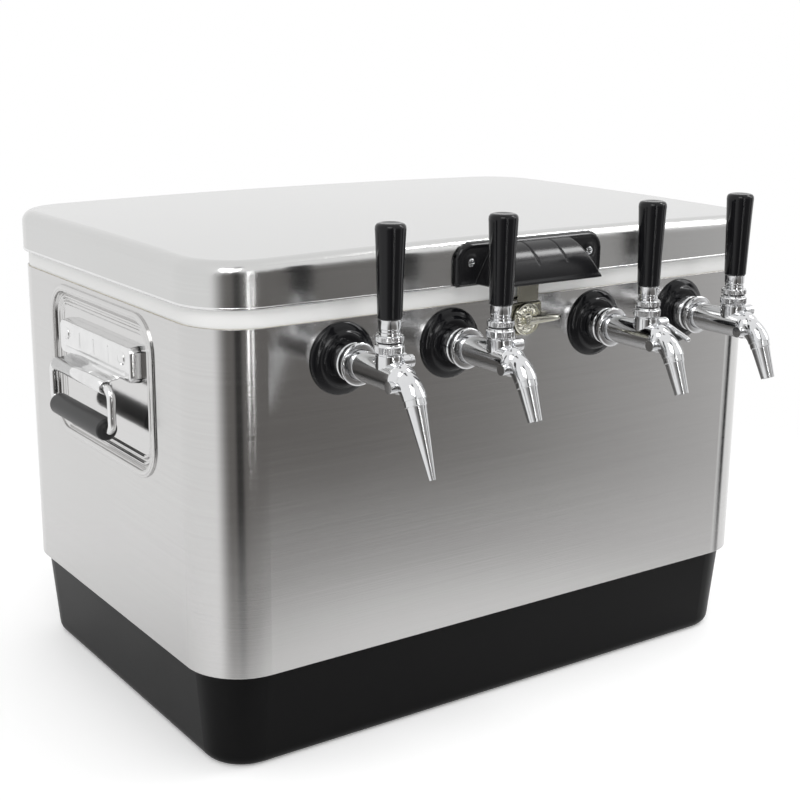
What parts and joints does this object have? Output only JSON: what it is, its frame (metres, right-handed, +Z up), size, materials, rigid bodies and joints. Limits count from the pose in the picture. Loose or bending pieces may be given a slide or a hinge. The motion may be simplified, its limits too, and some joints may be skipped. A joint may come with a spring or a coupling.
{
  "type": "jockey box beer cooler",
  "caption": "Insulated steel cooler with a hinged lid, swinging end handles, draught taps on its front and cooling coils inside.",
  "frame": {"origin": "centre of the base's underside", "axes": "+X to the right along the front, the front with the taps faces -Y, +Z up"},
  "size_m": [0.655, 0.5474, 0.453],
  "materials": {
    "brushed_steel": "fine straight grain, satin",
    "lid_steel": "fine straight grain, satin",
    "black_base": "moulded, satin",
    "white_liner": "moulded, smooth",
    "foam": null,
    "seal_rubber": "soft seal",
    "hinge_steel": "satin",
    "zinc_screw": "bright zinc",
    "black_handle": "moulded, satin",
    "nickel": "warm pale plating",
    "bright_steel": "polished",
    "grip_black": "ribbed sleeve",
    "chrome": "polished plating",
    "gloss_black": "high gloss",
    "stainless_tube": "drawn tube",
    "brass": "machined",
    "drain_plastic": "moulded"
  },
  "bodies": {
    "cooler": {"base_tub": "black_base", "steel_shell": "brushed_steel", "inner_liner": "white_liner", "insulation_foam": "foam", "body_hinge_leaves": "hinge_steel", "hinge_pins": "hinge_steel", "body_hinge_screws": "zinc_screw", "latch_plate": "nickel", "handle_brackets": "bright_steel", "bracket_rivets": "bright_steel", "drain_fitting": "drain_plastic", "spouts": "chrome", "bonnets": "chrome", "coupling_nuts": "chrome", "shanks": "chrome", "shank_flanges": "gloss_black", "shank_locknuts": "brass", "cooling_coils": "stainless_tube", "coil_tail_nuts": "brass", "inlet_fittings": "bright_steel", "inlet_nuts": "brass", "faucet_body_1": "chrome", "faucet_body_2": "chrome", "faucet_body_3": "chrome", "faucet_body_4": "chrome"},
    "lid": {"lid_skin": "lid_steel", "lid_foam": "foam", "lid_liner": "white_liner", "lid_gasket": "seal_rubber", "lid_hinge_leaves": "hinge_steel", "lid_hinge_screws": "zinc_screw", "lid_handle": "black_handle", "lid_handle_screws": "zinc_screw", "latch_strike": "nickel"},
    "latch_knob": {"latch_knob": "nickel"},
    "bail_left": {"bail_left": "bright_steel", "bail_grip_left": "grip_black"},
    "bail_right": {"bail_right": "bright_steel", "bail_grip_right": "grip_black"},
    "drain_cap": {"drain_cap": "drain_plastic"},
    "tap_handle_1": {"tap_handle_1": "gloss_black", "handle_ferrule_1": "chrome", "tap_lever_1": "chrome"},
    "valve_shuttle_1": {"valve_shuttle_1": "bright_steel"},
    "flow_lever_1": {"flow_lever_1": "chrome"},
    "tap_handle_2": {"tap_handle_2": "gloss_black", "handle_ferrule_2": "chrome", "tap_lever_2": "chrome"},
    "valve_shuttle_2": {"valve_shuttle_2": "bright_steel"},
    "flow_lever_2": {"flow_lever_2": "chrome"},
    "tap_handle_3": {"tap_handle_3": "gloss_black", "handle_ferrule_3": "chrome", "tap_lever_3": "chrome"},
    "valve_shuttle_3": {"valve_shuttle_3": "bright_steel"},
    "flow_lever_3": {"flow_lever_3": "chrome"},
    "tap_handle_4": {"tap_handle_4": "gloss_black", "handle_ferrule_4": "chrome", "tap_lever_4": "chrome"},
    "valve_shuttle_4": {"valve_shuttle_4": "bright_steel"},
    "flow_lever_4": {"flow_lever_4": "chrome"}
  },
  "joints": [
    {"name": "lid_hinge", "type": "hinge", "parent": "cooler", "child": "lid", "pos_m": [0, 0.2101, 0.3861], "axis": [-1, 0, 0], "range_deg": [0, 95]},
    {"name": "latch_turn", "type": "hinge", "parent": "cooler", "child": "latch_knob", "pos_m": [0, -0.202, 0.351], "axis": [0, 1, 0], "range_deg": [0, 90]},
    {"name": "bail_left_swing", "type": "hinge", "parent": "cooler", "child": "bail_left", "pos_m": [-0.318, 0, 0.301], "axis": [0, 1, 0], "range_deg": [0, 90]},
    {"name": "bail_right_swing", "type": "hinge", "parent": "cooler", "child": "bail_right", "pos_m": [0.318, 0, 0.301], "axis": [0, -1, 0], "range_deg": [0, 90]},
    {"name": "drain_cap_turn", "type": "hinge", "parent": "cooler", "child": "drain_cap", "pos_m": [0.3, 0, 0.06], "axis": [1, 0, 0], "continuous": true},
    {"name": "tap_1_pull", "type": "hinge", "parent": "cooler", "child": "tap_handle_1", "pos_m": [-0.184, -0.268, 0.357], "axis": [1, 0, 0], "range_deg": [0, 30]},
    {"name": "tap_1_shuttle", "type": "slide", "parent": "cooler", "child": "valve_shuttle_1", "axis": [0, 1, 0], "range_m": [0, 0.0098]},
    {"name": "flow_1_turn", "type": "hinge", "parent": "cooler", "child": "flow_lever_1", "pos_m": [-0.184, -0.274, 0.3495], "axis": [1, 0, 0], "range_deg": [0, 180]},
    {"name": "tap_2_pull", "type": "hinge", "parent": "cooler", "child": "tap_handle_2", "pos_m": [-0.079, -0.268, 0.357], "axis": [1, 0, 0], "range_deg": [0, 30]},
    {"name": "tap_2_shuttle", "type": "slide", "parent": "cooler", "child": "valve_shuttle_2", "axis": [0, 1, 0], "range_m": [0, 0.0098]},
    {"name": "flow_2_turn", "type": "hinge", "parent": "cooler", "child": "flow_lever_2", "pos_m": [-0.079, -0.274, 0.3495], "axis": [1, 0, 0], "range_deg": [0, 180]},
    {"name": "tap_3_pull", "type": "hinge", "parent": "cooler", "child": "tap_handle_3", "pos_m": [0.079, -0.268, 0.357], "axis": [1, 0, 0], "range_deg": [0, 30]},
    {"name": "tap_3_shuttle", "type": "slide", "parent": "cooler", "child": "valve_shuttle_3", "axis": [0, 1, 0], "range_m": [0, 0.0098]},
    {"name": "flow_3_turn", "type": "hinge", "parent": "cooler", "child": "flow_lever_3", "pos_m": [0.079, -0.274, 0.3495], "axis": [1, 0, 0], "range_deg": [-180, 0]},
    {"name": "tap_4_pull", "type": "hinge", "parent": "cooler", "child": "tap_handle_4", "pos_m": [0.184, -0.268, 0.357], "axis": [1, 0, 0], "range_deg": [0, 30]},
    {"name": "tap_4_shuttle", "type": "slide", "parent": "cooler", "child": "valve_shuttle_4", "axis": [0, 1, 0], "range_m": [0, 0.0098]},
    {"name": "flow_4_turn", "type": "hinge", "parent": "cooler", "child": "flow_lever_4", "pos_m": [0.184, -0.274, 0.3495], "axis": [1, 0, 0], "range_deg": [0, 180]}
  ],
  "couplings": [
    {"joint": "tap_1_shuttle", "follows": "tap_1_pull", "m_per_rad": 0.0176},
    {"joint": "tap_2_shuttle", "follows": "tap_2_pull", "m_per_rad": 0.0176},
    {"joint": "tap_3_shuttle", "follows": "tap_3_pull", "m_per_rad": 0.0176},
    {"joint": "tap_4_shuttle", "follows": "tap_4_pull", "m_per_rad": 0.0176}
  ]
}
